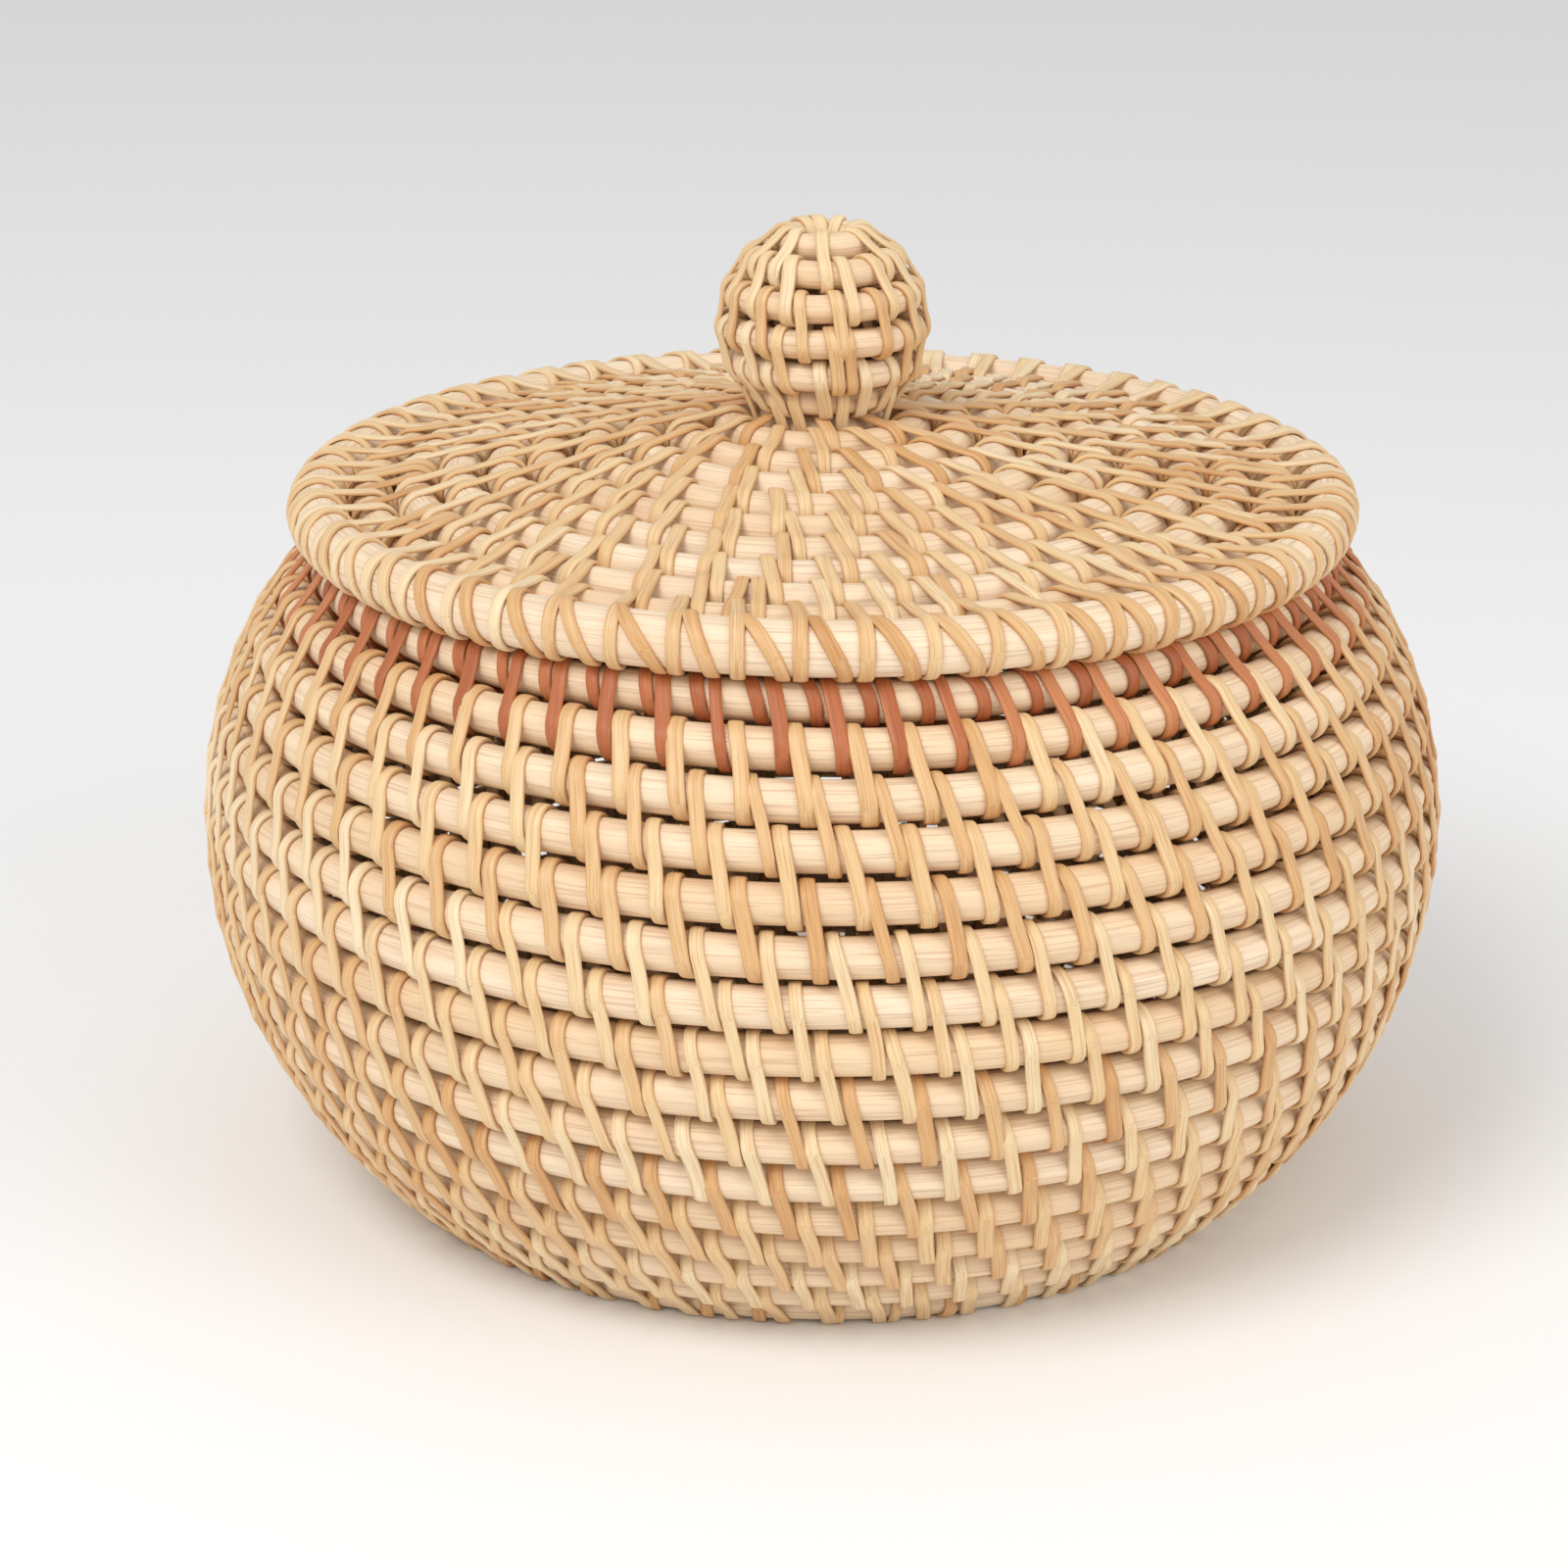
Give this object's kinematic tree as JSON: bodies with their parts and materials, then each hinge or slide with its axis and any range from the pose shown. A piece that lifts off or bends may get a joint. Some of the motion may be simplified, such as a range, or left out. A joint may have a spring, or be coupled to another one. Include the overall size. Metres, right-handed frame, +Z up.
{
  "type": "lidded basket",
  "caption": "Round-bellied lidded storage basket coiled from rattan core and lashed with cane, with a shallow domed lid and a ball knob.",
  "frame": {"origin": "middle of the footprint, on the surface the basket stands on", "axes": "+Z up along the axis of the coil, through the knob; the basket is the same all round"},
  "size_m": [0.2696, 0.2696, 0.2083],
  "materials": {
    "core": "peeled rattan core, smooth satin with fine lengthwise fibres",
    "cane": "split cane, satin, cream to honey",
    "bead": "plain turned wood, matt"
  },
  "bodies": {
    "basket": {"base_coil_1": "core", "base_coil_2": "core", "base_coil_3": "core", "base_coil_4": "core", "base_coil_5": "core", "base_coil_6": "core", "base_coil_7": "core", "base_coil_8": "core", "base_lashing_inner": "cane", "base_lashing_outer": "cane", "foot_lashing": "cane", "rim_wrap": "cane", "wall_coil_01": "core", "wall_coil_02": "core", "wall_coil_03": "core", "wall_coil_04": "core", "wall_coil_05": "core", "wall_coil_06": "core", "wall_coil_07": "core", "wall_coil_08": "core", "wall_coil_09": "core", "wall_coil_10": "core", "wall_coil_11": "core", "wall_coil_12": "core", "wall_coil_13": "core", "wall_coil_14": "core", "wall_coil_15": "core", "wall_coil_16": "core", "wall_lashing_1": "cane", "wall_lashing_2": "cane", "wall_lashing_3": "cane", "wall_lashing_4": "cane", "wall_lashing_5": "cane", "wall_lashing_6": "cane", "wall_lashing_7": "cane"},
    "lid": {"edge_lashing": "cane", "edge_wrap": "cane", "knob_bead": "bead", "knob_coil_1": "core", "knob_coil_2": "core", "knob_coil_3": "core", "knob_coil_4": "core", "knob_coil_5": "core", "knob_coil_6": "core", "knob_lashing": "cane", "lid_coil_01": "core", "lid_coil_02": "core", "lid_coil_03": "core", "lid_coil_04": "core", "lid_coil_05": "core", "lid_coil_06": "core", "lid_coil_07": "core", "lid_coil_08": "core", "lid_coil_09": "core", "lid_coil_10": "core", "lid_edge_rod": "core", "lid_lashing_inner": "cane", "lid_lashing_outer": "cane", "lid_ring": "core", "ring_lashing": "cane"}
  },
  "joints": [
    {"name": "lid_lift", "type": "slide", "parent": "basket", "child": "lid", "axis": [0, 0, 1], "range_m": [0, 0.12]}
  ]
}
